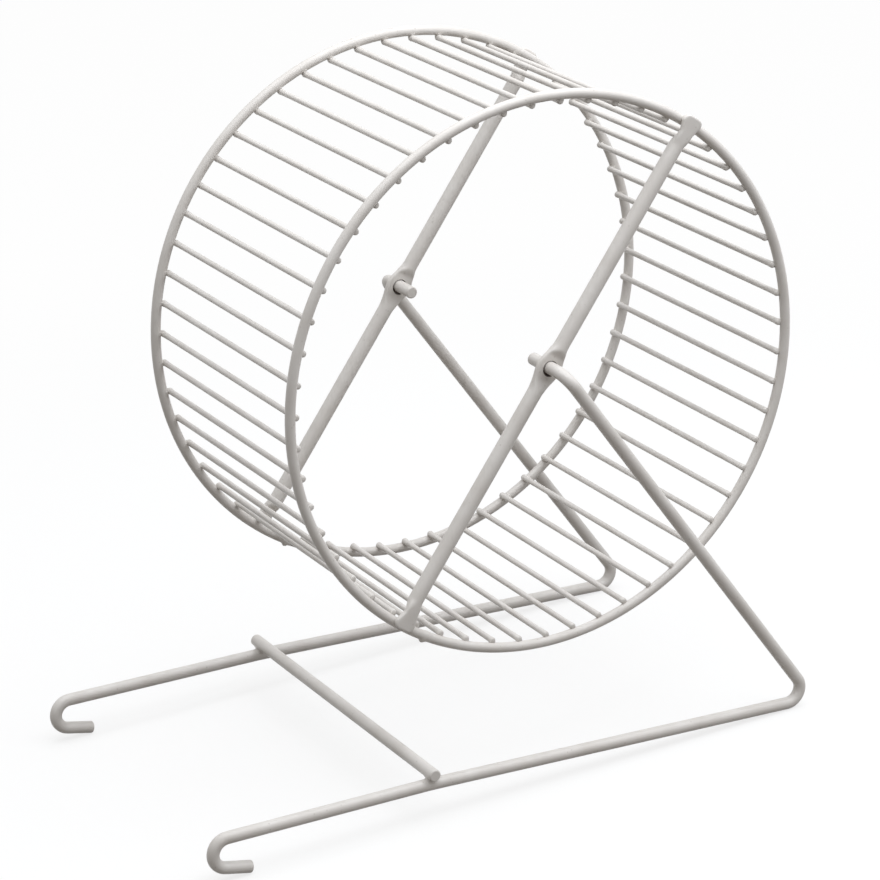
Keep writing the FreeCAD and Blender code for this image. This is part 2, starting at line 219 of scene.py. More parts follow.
def add_node(tree, kind, inputs=None, **settings):
    """Node with its settings, and its inputs set to values or linked to sockets."""
    node = tree.nodes.new(kind)
    for name, value in settings.items():
        setattr(node, name, value)
    for name, value in (inputs or {}).items():
        if isinstance(value, bpy.types.NodeSocket):
            tree.links.new(value, node.inputs[name])
        else:
            node.inputs[name].default_value = value
    return node


def new_tree(name):
    """Empty node tree of a new material."""
    material = bpy.data.materials.new(name)
    material.use_nodes = True
    material.node_tree.nodes.clear()
    return material, material.node_tree


def seen_directly(tree):
    """Socket that is 1 for what the camera, a mirror or glass shows, and 0 for light on other surfaces."""
    path = add_node(tree, "ShaderNodeLightPath")
    seen = path.outputs["Is Camera Ray"]
    for other in ("Is Glossy Ray", "Is Transmission Ray"):
        either = add_node(tree, "ShaderNodeMath", {0: seen, 1: path.outputs[other]}, operation="MAXIMUM")
        seen = either.outputs[0]
    return seen


def coat_material():
    """Steel wire with an epoxy powder coat, sprayed dry and baked.

    The powder melts into a satin skin with a soft ripple, draws back a little from edges, lies thinner in
    patches and holds a few specks of dust. It gives a broad soft highlight and no sparkle.
    """
    name = "powder_coated_steel_wire"
    if name in bpy.data.materials:
        return bpy.data.materials[name]
    coat = bpy.context.scene.wheel_coat
    material, tree = new_tree(name)
    place = add_node(tree, "ShaderNodeTexCoord").outputs["Object"]
    patch = add_node(tree, "ShaderNodeTexNoise", {
        "Vector": place, "Scale": 1 / coat.mottle_size, "Detail": 3.0, "Roughness": 0.55})
    thin = add_node(tree, "ShaderNodeMapRange", {
        "Value": patch.outputs["Fac"], "From Min": 0.35, "From Max": 0.7})
    tone = add_node(tree, "ShaderNodeMix", {
        "Factor": thin.outputs["Result"], 6: coat.colour, 7: coat.thin_colour}, data_type="RGBA")
    dust = add_node(tree, "ShaderNodeTexVoronoi", {
        "Vector": place, "Scale": 1 / coat.speck_spacing, "Randomness": 1.0})
    # A speck comes out about 0.3 to 0.6 mm across, drawn coarser than real dust so that it shows
    speck = add_node(tree, "ShaderNodeMapRange", {
        "Value": dust.outputs["Distance"], "From Min": 0.06, "From Max": 0.13, "To Min": 0.55, "To Max": 0.0})
    colour = add_node(tree, "ShaderNodeMix", {
        "Factor": speck.outputs["Result"], 6: tone.outputs[2], 7: coat.speck_colour}, data_type="RGBA")
    gloss = add_node(tree, "ShaderNodeMapRange", {
        "Value": patch.outputs["Fac"], "From Min": 0.3, "From Max": 0.75,
        "To Min": coat.roughness - 0.05, "To Max": coat.roughness + 0.09})
    peel = add_node(tree, "ShaderNodeTexNoise", {
        "Vector": place, "Scale": 1 / coat.peel_size, "Detail": 1.5, "Roughness": 0.45})
    ripple = add_node(tree, "ShaderNodeBump", {
        "Height": peel.outputs["Fac"], "Distance": coat.peel_depth, "Strength": 0.8})
    satin = add_node(tree, "ShaderNodeBsdfPrincipled", {
        "Base Color": colour.outputs[2], "Roughness": gloss.outputs["Result"],
        "Normal": ripple.outputs["Normal"], "IOR": 1.5})
    add_node(tree, "ShaderNodeOutputMaterial", {"Surface": satin.outputs["BSDF"]})
    return material


def hole_shade_material():
    """Steel in the eye's hole, pierced through the coat and rubbed by the axle.

    The coat has worn off, and a dark colour paints the shade inside the hole, so the hole shows as a dark
    ring, broken by patches of rubbed steel. The fill under the axle paints the shade in the gap there and
    looks the same.
    """
    name = "worn_steel_and_painted_shade"
    if name in bpy.data.materials:
        return bpy.data.materials[name]
    bearing = bpy.context.scene.wheel_bearing
    material, tree = new_tree(name)
    place = add_node(tree, "ShaderNodeTexCoord").outputs["Object"]
    smear = add_node(tree, "ShaderNodeTexNoise", {
        "Vector": place, "Scale": 1 / bearing.shade_patch_size, "Detail": 2.0, "Roughness": 0.5})
    # Painted shade: patches of the dark colour, with rubbed steel between them
    shade_and_wear = add_node(tree, "ShaderNodeMapRange", {
        "Value": smear.outputs["Fac"], "From Min": 0.35, "From Max": 0.65})
    shades = {"Factor": shade_and_wear.outputs["Result"], 6: bearing.painted_shade_colour, 7: bearing.rubbed_colour}
    tone = add_node(tree, "ShaderNodeMix", shades, data_type="RGBA")
    film = add_node(tree, "ShaderNodeMapRange", {
        "Value": smear.outputs["Fac"], "From Min": 0.3, "From Max": 0.7, "To Min": 0.35, "To Max": 0.6})
    steel = add_node(tree, "ShaderNodeBsdfPrincipled", {
        "Base Color": tone.outputs[2], "Roughness": film.outputs["Result"], "Metallic": 0.6})
    add_node(tree, "ShaderNodeOutputMaterial", {"Surface": steel.outputs["BSDF"]})
    return material


def paper_material():
    """White seamless paper, matt and unprinted.

    The camera, mirrors and glass see it as near white with the object's shadow on it, and away from the
    object it fades to plain white. The light that it sends back up is weaker, as from paper that lies
    outside the lamps' reach.
    """
    stage = bpy.context.scene.wheel_stage
    material, tree = new_tree("white_seamless_paper")
    paper = add_node(tree, "ShaderNodeBsdfDiffuse", {"Color": stage.paper_colour})
    white = add_node(tree, "ShaderNodeEmission", {"Color": (1, 1, 1, 1), "Strength": 1.0})
    place = add_node(tree, "ShaderNodeTexCoord").outputs["Object"]
    far = add_node(tree, "ShaderNodeVectorMath", {0: place}, operation="LENGTH")
    start, end = stage.fade_reach
    glow = add_node(tree, "ShaderNodeMapRange", {
        "Value": far.outputs["Value"], "From Min": start, "From Max": end,
        "To Min": stage.paper_glow[0], "To Max": stage.paper_glow[1]}, interpolation_type="SMOOTHSTEP")
    shown = add_node(tree, "ShaderNodeMixShader", {
        "Fac": glow.outputs["Result"], 1: paper.outputs["BSDF"], 2: white.outputs["Emission"]})
    bounce = add_node(tree, "ShaderNodeBsdfDiffuse", {"Color": stage.bounce_colour})
    surface = add_node(tree, "ShaderNodeMixShader", {
        "Fac": seen_directly(tree), 1: bounce.outputs["BSDF"], 2: shown.outputs["Shader"]})
    add_node(tree, "ShaderNodeOutputMaterial", {"Surface": surface.outputs["Shader"]})
    return material


# Mesh helpers

def mesh_object(name, shape, material):
    """Object in the scene made from a bmesh, which is used up."""
    mesh = bpy.data.meshes.new(name)
    shape.to_mesh(mesh)
    shape.free()
    mesh.materials.append(material)
    made = bpy.data.objects.new(name, mesh)
    bpy.context.scene.collection.objects.link(made)
    return made


def add_piece(name, shape, body, nodes=(), finish=coat_material):
    """Piece from a closed bmesh, finished, riding on its body and standing for CAD nodes."""
    bmesh.ops.recalc_face_normals(shape, faces=shape.faces)
    piece = mesh_object(name, shape, finish())
    piece.data.shade_smooth()
    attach(piece, body)
    if nodes:
        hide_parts(*nodes)
    return piece


def node_shape(node):
    """Mesh of a CAD node with its split corners joined again."""
    same_point = 1e-7
    shape = bmesh.new()
    shape.from_mesh(frame["nodes"][node].data)
    bmesh.ops.remove_doubles(shape, verts=shape.verts, dist=same_point)
    return shape


def node_points(node):
    """Points of a CAD node's mesh, one row each."""
    return np.array([v.co for v in frame["nodes"][node].data.vertices])


def wire_boxes(node):
    """Lowest and highest corner of each separate wire in a node."""
    shape = node_shape(node)
    left = set(shape.verts)
    boxes = []
    while left:
        reached = [left.pop()]
        for vert in reached:
            for edge in vert.link_edges:
                other = edge.other_vert(vert)
                if other in left:
                    left.remove(other)
                    reached.append(other)
        points = np.array([v.co for v in reached])
        boxes.append((Vector(points.min(0)), Vector(points.max(0))))
    shape.free()
    return sorted(boxes, key=lambda box: tuple(box[0]))


def skin(shape, loops):
    """Quads between each closed loop of points and the next."""
    rows = [[shape.verts.new(point) for point in loop] for loop in loops]
    count = len(rows[0])
    for row, after in zip(rows, rows[1:]):
        for i in range(count):
            j = (i + 1) % count
            shape.faces.new((row[i], row[j], after[j], after[i]))
    return rows


def ring_skin(shape, loops):
    """Quads round a ring of closed loops, the last joined to the first."""
    rows = skin(shape, loops)
    count = len(rows[0])
    for i in range(count):
        j = (i + 1) % count
        shape.faces.new((rows[-1][i], rows[-1][j], rows[0][j], rows[0][i]))


def capped_skin(shape, loops):
    """Quads along a row of closed loops, with a face over the first and the last."""
    rows = skin(shape, loops)
    shape.faces.new(rows[0])
    shape.faces.new(rows[-1])


def fan(shape, row, point):
    """Triangles from a row of vertices to one point."""
    tip = shape.verts.new(point)
    for i in range(len(row)):
        shape.faces.new((row[i], row[(i + 1) % len(row)], tip))


def softened(node, width, segments):
    """Copy of a CAD node's mesh with its sharp edges rounded off as the coat rounds them."""
    shape = node_shape(node)
    flat_limit, sharp_limit = math.radians(0.05), math.radians(25)
    bmesh.ops.dissolve_limit(
        shape, angle_limit=flat_limit, use_dissolve_boundaries=False,
        verts=shape.verts, edges=shape.edges, delimit=set())
    sharp = [edge for edge in shape.edges if edge.calc_face_angle(0) > sharp_limit]
    corners = {vert for edge in sharp for vert in edge.verts}
    bmesh.ops.bevel(
        shape, geom=sharp + list(corners), offset=width, offset_type="OFFSET", segments=segments,
        profile=0.5, affect="EDGES", clamp_overlap=True)
    return shape


def keep_flats(piece):
    """Shade the flat faces flat and only the rounded edges round."""
    piece.modifiers.new("weighted_normals", "WEIGHTED_NORMAL").keep_sharp = False


# Layout read from the frame

def hoop_layout(side):
    """Centre, centre-line radius and wire radius of a hoop."""
    low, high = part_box(f"{side}_hoop")
    wire = (high.y - low.y) / 2
    outside = min(high.x - low.x, high.z - low.z) / 2
    return (low + high) / 2, outside - wire, wire


def rung_nodes():
    """Names of the nodes that hold rungs."""
    return sorted(node for node in frame["nodes"] if "rung" in node)


def bar_line(side):
    """A point on a spoke bar's axis and the bar's direction, upwards."""
    points = node_points(f"{side}_spoke_bar")
    middle = points.mean(0)
    along = Vector(np.linalg.svd(points - middle, full_matrices=False)[2][0])
    along.y = 0
    along.normalize()
    pivot = Vector(frame["joints"][0]["pos_m"])
    return pivot, along if along.z > 0 else -along


def bar_layout(side, outward):
    """Sizes of a spoke bar, read from its mesh along, across and outwards from its eye."""
    # Half length of the eye's middle and length of a spade's tip, and length of a spade with its taper
    tip_reach = 2 * MM
    spade_reach = 12 * MM
    # Flats further than this from the eye are a spade's
    past_eye = 50 * MM
    pivot, along = bar_line(side)
    across = ACROSS.cross(along)
    points = node_points(f"{side}_spoke_bar")
    far = (points - np.array(pivot)) @ np.array(along)
    wide = (points - np.array(pivot)) @ np.array(across)
    high = points[:, 1] * outward
    eye = abs(far) < tip_reach
    ends = (far.min(), far.max())
    axis = (high.max() + high.min()) / 2
    rod = (high.max() - high.min()) / 2
    floor = high[far > ends[1] - tip_reach].min()
    level = []
    for way in (-1, 1):
        spade = (way * far > past_eye) & (abs(high - floor) < HAIR)
        level.append(abs(ends[way > 0]) - (way * far[spade]).min())
    tips = far > ends[1] - spade_reach
    widest = wide[tips].max()
    return {
        "origin": Vector((pivot.x, outward * axis, pivot.z)), "along": along, "across": across,
        "out": ACROSS * outward, "ends": ends, "rod": rod,
        "hole": np.hypot(far[eye], wide[eye]).min(), "eye_half": wide[eye].max(),
        "eye_flat": (high[eye].max() - high[eye].min()) / 2,
        "spade_floor": floor - axis, "spade_middle": (rod + floor - axis) / 2, "spade_half": widest,
        "spade_tip": ends[1] - far[tips & (wide > widest - 2 * HAIR)].max(), "spade_level": level,
    }


def axle_layout(side):
    """Middle of the inner end of a side wire's axle, and the axle's radius."""
    points = node_points(f"{side}_side_wire")
    depth = abs(points[:, 1])
    end = points[depth < depth.min() + HAIR]
    low, high = end.min(0), end.max(0)
    return Vector((low + high) / 2), (high[0] - low[0]) / 2


def ease(share):
    """Smooth step from 0 to 1."""
    share = min(max(share, 0.0), 1.0)
    return share * share * (3 - 2 * share)


def rail_slope(side, x):
    """Point on a rail's axis and the rail's direction, near a place along X."""
    reach, above_rails = 12 * MM, 20 * MM
    points = node_points(f"{side}_side_wire")
    near = points[(abs(points[:, 0] - x) < reach) & (points[:, 2] < above_rails)]
    rise, level = np.polyfit(near[:, 0], near[:, 2], 1)
    return Vector((x, near[:, 1].mean(), rise * x + level)), Vector((1, 0, rise)).normalized()


# Welded crossings

def saddle(shape, place, lower, upper, gap, fill, stop=1.0):
    """Coat that bridges the gap round a crossing of two wires, as a closed ring.

    In the frame of place the lower wire runs along the first axis and the upper one along the second, with
    the gap between them at the origin. The lower wire may stop a short way along its axis.
    """
    around, halvings = 20, 24
    # Shares of the bridge's reach: the skirt on the wires, the hollow of its face and the core in the gap
    skirt, hollow, core = 1.14, 0.8, 0.55
    # The skirt stays a little inside the wires' outlines
    inside = 0.985
    # Share of the reach, share of the way up from wire to wire, and share of the fill sunk into a wire
    section = ((skirt, 0.0, -0.02), (1.0, 0.16, 0), (hollow, 0.5, 0), (1.0, 0.84, 0), (skirt, 1.0, 0.02),
               (core, 1.0, 0.12), (core, 0.0, -0.12))

    def under(v):
        return -gap / 2 - lower + math.sqrt(max(lower ** 2 - v ** 2, 0))

    def over(u):
        return gap / 2 + upper - math.sqrt(max(upper ** 2 - u ** 2, 0))

    loops = []
    for i in range(around):
        turn = 2 * math.pi * (i + 0.5) / around
        u, v = math.cos(turn), math.sin(turn)
        low, high = 0.0, inside * min(upper / abs(u), lower / abs(v)) / skirt
        for _ in range(halvings):
            reach = (low + high) / 2
            if over(reach * u) - under(reach * v) < fill:
                low = reach
            else:
                high = reach
        if u > 0:
            reach = min(reach, stop / (skirt * u))
        loop = []
        for share, mix, sink in section:
            out = reach * share
            bottom, top = under(out * v), over(out * u)
            rise = bottom + (top - bottom) * mix + sink * fill
            loop.append(place @ Vector((out * u, out * v, rise)))
        loops.append(loop)
    ring_skin(shape, loops)


def spade_fillet(shape, centre, radius, wire, angle, outward, way, length, gap):
    """Coat in the wedge between a spade's flat and its hoop, on one side of the hoop's crest."""
    count = 15
    # The fillet inside the crest is the larger one
    size = 1.0 if way < 0 else 0.7
    # A small face is left at both ends
    blunt = 0.02
    # Distance from the crest and depth under the spade, both in wire radii
    section = ((1.12, -0.05), (0.92, 0.05), (0.70, 0.12), (0.80, 0.28), (0.92, 0.50), (0.55, 0.40),
               (0.45, -0.05))
    loops = []
    for i in range(count):
        step = 2 * i / (count - 1) - 1
        swell = size * math.sqrt(max(1 - step ** 2, blunt))
        turn = angle + step * length * size / radius
        out = Vector((math.cos(turn), 0, math.sin(turn)))
        crest = centre + out * radius + ACROSS * outward * (wire + gap)
        loops.append([crest + out * (way * q * swell * wire) - ACROSS * outward * (depth * swell ** 2 * wire)
                      for q, depth in section])
    capped_skin(shape, loops)


# Operators

class MakeRungs(bpy.types.Operator):
    """Coat the rungs, a little thinner between their ends and with a bead at each cut end"""
    bl_idname = "exercise_wheel.make_rungs"
    bl_label = "Rungs"

    # Distance from the end and radius, both in rung radii. The last radius holds between the ends
    tip_shape = ((0.03, 0.5), (0.12, 0.8), (0.3, 0.98), (0.55, 1.08), (0.95, 1.1), (1.6, 1.04), (2.4, 1.0),
                 (6.0, 0.95))
    # The bead's rows are drawn for this swell
    drawn_swell = 0.1
    sides = 20

    def execute(self, context):
        draw = random.Random(context.scene.wheel_weld.seed)
        uneven = context.scene.wheel_weld.unevenness
        swell = context.scene.wheel_wire.tip_swell / self.drawn_swell
        for node in rung_nodes():
            shape = bmesh.new()
            for low, high in wire_boxes(node):
                self.add_wire(shape, low, high, [swell * draw.uniform(1 - uneven, 1 + uneven) for _ in SIDES])
            add_piece(f"coated_{node}", shape, "wheel", [node])
        return {"FINISHED"}

    def add_wire(self, shape, low, high, swells):
        """One wire along Y, turned on its axis."""
        middle = (low + high) / 2
        radius = (high.x - low.x) / 2
        profile = []
        for end, way, swell in ((low.y, 1, swells[0]), (high.y, -1, swells[1])):
            half = [(end + way * radius * far, radius * (1 + (wide - 1) * (swell if wide > 1 else 1)))
                    for far, wide in self.tip_shape]
            profile += half if way > 0 else half[::-1]
        turns = [2 * math.pi * i / self.sides for i in range(self.sides)]
        spokes = [Vector((math.cos(t), 0, math.sin(t))) for t in turns]
        loops = [[Vector((middle.x, y, middle.z)) + spoke * wide for spoke in spokes] for y, wide in profile]
        rows = skin(shape, loops)
        fan(shape, rows[0], Vector((middle.x, low.y, middle.z)))
        fan(shape, rows[-1], Vector((middle.x, high.y, middle.z)))


class MakeHoops(bpy.types.Operator):
    """Coat the hoops, with the ridge and the drop of coat at their closing weld"""
    bl_idname = "exercise_wheel.make_hoops"
    bl_label = "Hoops"

    sides = 24
    # Even stations round the hoop, a few left out each side of the closing weld, where close ones stand
    stations, left_out = 264, 3
    close_step, close_count = 0.2 * MM, 20
    # Widths of the ridge and the drop, and the drop's distance from the weld
    ridge_width, drop_width, drop_offset = 0.75 * MM, 0.55 * MM, 0.5 * MM
    # The drop hangs from the outside of the hoop, narrower the higher this is
    drop_power = 3

    def execute(self, context):
        wire_settings = context.scene.wheel_wire
        for side in SIDES:
            centre, radius, wire = hoop_layout(side)
            joint = wire_settings.joint_angle
            close = range(-self.close_count, self.close_count + 1)
            even = range(self.left_out, self.stations - self.left_out + 1)
            turns = [joint + i * self.close_step / radius for i in close]
            turns += [joint + 2 * math.pi * i / self.stations for i in even]
            loops = []
            for turn in turns:
                out = Vector((math.cos(turn), 0, math.sin(turn)))
                off = math.remainder(turn - joint, 2 * math.pi) * radius
                ridge = wire_settings.joint_swell * math.exp(-(off / self.ridge_width) ** 2)
                beside = (off + self.drop_offset) / self.drop_width
                drop = wire_settings.drip_length * math.exp(-beside ** 2)
                loop = []
                for i in range(self.sides):
                    t = 2 * math.pi * i / self.sides
                    thick = wire + ridge + drop * max(math.cos(t), 0) ** self.drop_power
                    reach = radius + thick * math.cos(t)
                    loop.append(centre + out * reach + ACROSS * (thick * math.sin(t)))
                loops.append(loop)
            shape = bmesh.new()
            ring_skin(shape, loops)
            add_piece(f"coated_{side}_hoop", shape, "wheel", [f"{side}_hoop"])
        return {"FINISHED"}


class MakeSpokeBars(bpy.types.Operator):
    """Press the spoke bars out of round rod, with soft shoulders at the eye and the spades"""
    bl_idname = "exercise_wheel.make_spoke_bars"
    bl_label = "Spoke bars"

    around = 36
    # Half length of the eye's flat, and lengths of the ramps below and above it, the upper one steeper
    eye_level = 2.9 * MM
    shoulder = (4.4 * MM, 2.4 * MM)
    # Half length over which the eye spreads sideways
    eye_spread = 6.6 * MM
    # Length of the ramp from the rod down to a spade's flat, and of the taper of its sides
    spade_ramp = 3.4 * MM
    spade_taper = 7.7 * MM
    # A spade's tip is a round arc at 2 and squarer above
    blunt = 3.0
    # A pressed section's corners, round at 0 and squarer above
    squareness = 2.4
    # Length of the rounding at a spade's tip, and the share of the thickness that is left at its end
    rim_length = 0.5 * MM
    rim_left = 0.35
    # Distances of the closest stations from a tip
    near_tip = (0.02 * MM, 0.08 * MM, 0.18 * MM, 0.32 * MM, 0.5 * MM, 0.7 * MM)
    # Distances from the lower and the upper tip between which the other stations run, and their steps
    first, last = 1.0 * MM, 0.9 * MM
    pressed_step, rod_step = 0.3 * MM, 2.5 * MM
    # Reach of the press from the eye's middle and from a spade's tip
    eye_press, spade_press = 9 * MM, 12 * MM
    hole_sides = 56
    # Height as a share of the eye's half thickness, and how much wider than the hole the punch is
    hole_profile = ((1.5, 0.3 * MM), (1.06, 0.3 * MM), (1.0, 0.17 * MM), (0.93, 0.08 * MM), (0.84, 0.02 * MM),
                    (0.7, 0.0))

    def execute(self, context):
        for side, outward in SIDES.items():
            node = f"{side}_spoke_bar"
            bar = bar_layout(side, outward)
            shape = bmesh.new()
            rows = skin(shape, [self.section(bar, place) for place in self.stations(bar)])
            for row, end in zip((rows[0], rows[-1]), bar["ends"]):
                fan(shape, row, self.point(bar, end, 0, bar["spade_middle"]))
            piece = add_piece(f"coated_{node}", shape, "wheel", [node])
            self.pierce(context, piece, bar)
        return {"FINISHED"}

    def stations(self, bar):
        """Places along the bar, closer together where the press has been."""
        low, high = bar["ends"]
        places = {low + tip for tip in self.near_tip} | {high - tip for tip in self.near_tip}
        here = low + self.first
        while here < high - self.last:
            places.add(here)
            pressed = abs(here) < self.eye_press or min(here - low, high - here) < self.spade_press
            here += self.pressed_step if pressed else self.rod_step
        return sorted(places)

    def section(self, bar, place):
        """Closed loop of points round the bar at one place along it."""
        rod = bar["rod"]
        # The eye is pressed from both sides and spreads as it thins
        far = abs(place)
        eye = 1 - ease((far - self.eye_level) / self.shoulder[place > 0])
        inner = outer = rod + (bar["eye_flat"] - rod) * eye
        half = rod + (bar["eye_half"] - rod) * (1 - ease(far / self.eye_spread))
        # A spade is pressed from the inside alone
        end = min(place - bar["ends"][0], bar["ends"][1] - place)
        spade = 1 - ease((end - bar["spade_level"][place > 0]) / self.spade_ramp)
        inner += (-bar["spade_floor"] - inner) * spade
        half = max(half, min(self.tip_half(bar, end), self.taper_half(bar, end)))
        if end < bar["spade_tip"]:
            half = self.tip_half(bar, end)
        # The rim of the tip is rounded over
        rim = min(end / self.rim_length, 1)
        round_off = self.rim_left + (1 - self.rim_left) * math.sqrt(1 - (1 - rim) ** 2)
        middle, thick = (outer - inner) / 2, (outer + inner) / 2 * round_off
        power = 2 / (2 + self.squareness * max(eye, spade))
        loop = []
        for i in range(self.around):
            turn = 2 * math.pi * i / self.around
            across, out = math.cos(turn), math.sin(turn)
            across = math.copysign(abs(across) ** power, across) * half
            out = math.copysign(abs(out) ** power, out) * thick + middle
            loop.append(self.point(bar, place, across, out))
        return loop

    def tip_half(self, bar, end):
        """Half width of a spade's blunt tip, at a distance from its end."""
        left = 1 - min(end / bar["spade_tip"], 1)
        return bar["spade_half"] * (1 - left ** self.blunt) ** (1 / self.blunt)

    def taper_half(self, bar, end):
        """Half width of a spade's taper, at a distance from its end."""
        return bar["spade_half"] * (1 - (end - bar["spade_tip"]) / self.spade_taper)

    def point(self, bar, along, across, out):
        """Point from its place along the bar, across it and outwards."""
        return bar["origin"] + bar["along"] * along + bar["across"] * across + bar["out"] * out

    def pierce(self, context, piece, bar):
        """Cut the eye's hole, with a soft rim and a worn wall painted dark as the hole's shade."""
        hole, flat = bar["hole"] - context.scene.wheel_bearing.coat_lining, bar["eye_flat"]
        mirrored = tuple((-height, wide) for height, wide in self.hole_profile[::-1])
        turns = [2 * math.pi * i / self.hole_sides for i in range(self.hole_sides)]
        loops = []
        for height, wide in self.hole_profile + mirrored:
            reach, out = hole + wide, flat * height
            loops.append([self.point(bar, reach * math.cos(t), reach * math.sin(t), out) for t in turns])
        shape = bmesh.new()
        capped_skin(shape, loops)
        bmesh.ops.recalc_face_normals(shape, faces=shape.faces)
        punch = mesh_object("punch", shape, hole_shade_material())
        cut = piece.modifiers.new("eye_hole", "BOOLEAN")
        cut.operation = "DIFFERENCE"
        cut.solver = "EXACT"
        # The hole's wall takes the punch's dark steel, a painted shade
        cut.material_mode = "TRANSFER"
        cut.object = punch
        context.view_layer.update()
        pierced = bpy.data.meshes.new_from_object(piece.evaluated_get(context.evaluated_depsgraph_get()))
        piece.modifiers.remove(cut)
        bpy.data.objects.remove(punch)
        piece.data = pierced
        self.clean(pierced)
        near = [v for v in pierced.vertices if abs((v.co - bar["origin"]).dot(bar["along"])) < hole]
        if min((v.co - bar["origin"]).cross(bar["out"]).length for v in near) < hole - HAIR:
            raise RuntimeError(f"the eye of {piece.name} was not pierced")
        pierced.shade_smooth()

    def clean(self, mesh):
        """Join the slivers that the cut leaves along the hole's rim."""
        shape = bmesh.new()
        shape.from_mesh(mesh)
        bmesh.ops.remove_doubles(shape, verts=shape.verts, dist=HAIR)
        bmesh.ops.dissolve_degenerate(shape, edges=shape.edges, dist=HAIR)
        bmesh.ops.triangulate(shape, faces=[face for face in shape.faces if len(face.verts) > 4])
        if not all(edge.is_manifold for edge in shape.edges):
            raise RuntimeError(f"{mesh.name} is not closed")
        shape.to_mesh(mesh)
        shape.free()


class MakeAxleShade(bpy.types.Operator):
    """Fill the low side of each eye's hole, under the axle, with a dark fill painted as the gap's shade"""
    bl_idname = "exercise_wheel.make_grease"
    bl_label = "Grease"

    stations = 33
    # Way that the fill reaches up each side of the hole, in degrees, and how much it thins towards its ends
    reach = 86
    thinning = 0.98
    # Clearance from the wall of the hole, which turns round the fill
    clearance = 0.03 * MM
    # Share of the fill's height and of the eye's thickness, round the fill's section
    section = ((-0.05, -0.75), (0.5, -0.82), (0.94, -0.7), (1.0, -0.4), (1.0, 0.4), (0.94, 0.7), (0.5, 0.82),
               (-0.05, 0.75))

    def execute(self, context):
        for side, outward in SIDES.items():
            bar = bar_layout(side, outward)
            axle, thick = axle_layout(side)
            lift = axle.z - bar["origin"].z
            hole = bar["hole"] - context.scene.wheel_bearing.coat_lining - self.clearance
            flat = bar["eye_flat"]
            loops = []
            for i in range(self.stations):
                step = 2 * i / (self.stations - 1) - 1
                turn = math.radians(-90 + self.reach * step)
                out = Vector((math.cos(turn), 0, math.sin(turn)))
                near = lift * out.z + math.sqrt(thick ** 2 - (lift * out.x) ** 2)
                height = (hole - near) * math.sqrt(1 - self.thinning * step ** 4)
                loops.append([bar["origin"] + out * (near + height * share) + bar["out"] * (flat * deep)
                              for share, deep in self.section])
            shape = bmesh.new()
            capped_skin(shape, loops)
            # The fill is painted shade, dark where the gap under the axle lies in shadow
            add_piece(f"{side}_axle_painted_shade", shape, "stand", finish=hole_shade_material)
        return {"FINISHED"}


class MakeStand(bpy.types.Operator):
    """Coat the side wires and the crossbar, with their cut ends rounded"""
    bl_idname = "exercise_wheel.make_stand"
    bl_label = "Stand"

    rim_steps = 5

    def execute(self, context):
        for node in ("front_side_wire", "rear_side_wire", "base_crossbar"):
            shape = softened(node, context.scene.wheel_wire.rim_round, self.rim_steps)
            keep_flats(add_piece(f"coated_{node}", shape, "stand", [node]))
        return {"FINISHED"}


class MakeWelds(bpy.types.Operator):
    """Bridge the welded crossings with coat"""
    bl_idname = "exercise_wheel.make_welds"
    bl_label = "Welds"

    # Gap between a spade and its hoop
    spade_gap = 0.02 * MM

    def execute(self, context):
        weld = context.scene.wheel_weld
        draw = random.Random(weld.seed + 1)
        for side, outward in SIDES.items():
            self.rung_welds(side, outward, weld, draw)
            self.spade_welds(side, outward, weld)
        self.crossbar_welds(weld)
        return {"FINISHED"}

    def rung_welds(self, side, outward, weld, draw):
        """A saddle where each rung lies on the inside of a hoop."""
        centre, radius, wire = hoop_layout(side)
        along = ACROSS * outward
        shape = bmesh.new()
        for node in rung_nodes():
            for low, high in wire_boxes(node):
                middle = (low + high) / 2
                rung = (high.x - low.x) / 2
                out = Vector((middle.x - centre.x, 0, middle.z - centre.z))
                gap = radius - wire - rung - out.length
                out.normalize()
                point = centre + out * (radius - wire - gap / 2)
                place = Matrix((along, out.cross(along), out)).transposed().to_4x4()
                place.translation = Vector((point.x, centre.y, point.z))
                fill = weld.rung_fill * draw.uniform(1 - weld.unevenness, 1 + weld.unevenness)
                stop = (high.y - low.y) / 2 - abs(centre.y)
                saddle(shape, place, rung, wire, gap, fill, stop)
        add_piece(f"{side}_hoop_welds", shape, "wheel")

    def spade_welds(self, side, outward, weld):
        """Two fillets under each spade, inside and outside the crest of the hoop."""
        centre, radius, wire = hoop_layout(side)
        pivot, along = bar_line(side)
        offset = Vector((pivot.x - centre.x, 0, pivot.z - centre.z))
        middle = -offset.dot(along)
        half = math.sqrt(middle ** 2 - offset.length_squared + radius ** 2)
        shape = bmesh.new()
        for far in (middle + half, middle - half):
            point = offset + along * far
            angle = math.atan2(point.z, point.x)
            for way in (-1, 1):
                spade_fillet(
                    shape, centre, radius, wire, angle, outward, way, weld.spade_length, self.spade_gap)
        add_piece(f"{side}_spade_welds", shape, "wheel")

    def crossbar_welds(self, weld):
        """A saddle where the crossbar lies on each rail."""
        low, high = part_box("base_crossbar")
        bar = (low + high) / 2
        thick = (high.x - low.x) / 2
        shape = bmesh.new()
        for side in SIDES:
            point, along = rail_slope(side, bar.x)
            up = along.cross(ACROSS)
            up = up if up.z > 0 else -up
            rise = Vector((bar.x - point.x, 0, bar.z - point.z)).dot(up)
            gap = rise - 2 * thick
            place = Matrix((along, ACROSS, up)).transposed().to_4x4()
            place.translation = Vector((bar.x, point.y, bar.z)) - up * (thick + gap / 2)
            saddle(shape, place, thick, thick, gap, weld.crossbar_fill)
        add_piece("crossbar_welds", shape, "stand")


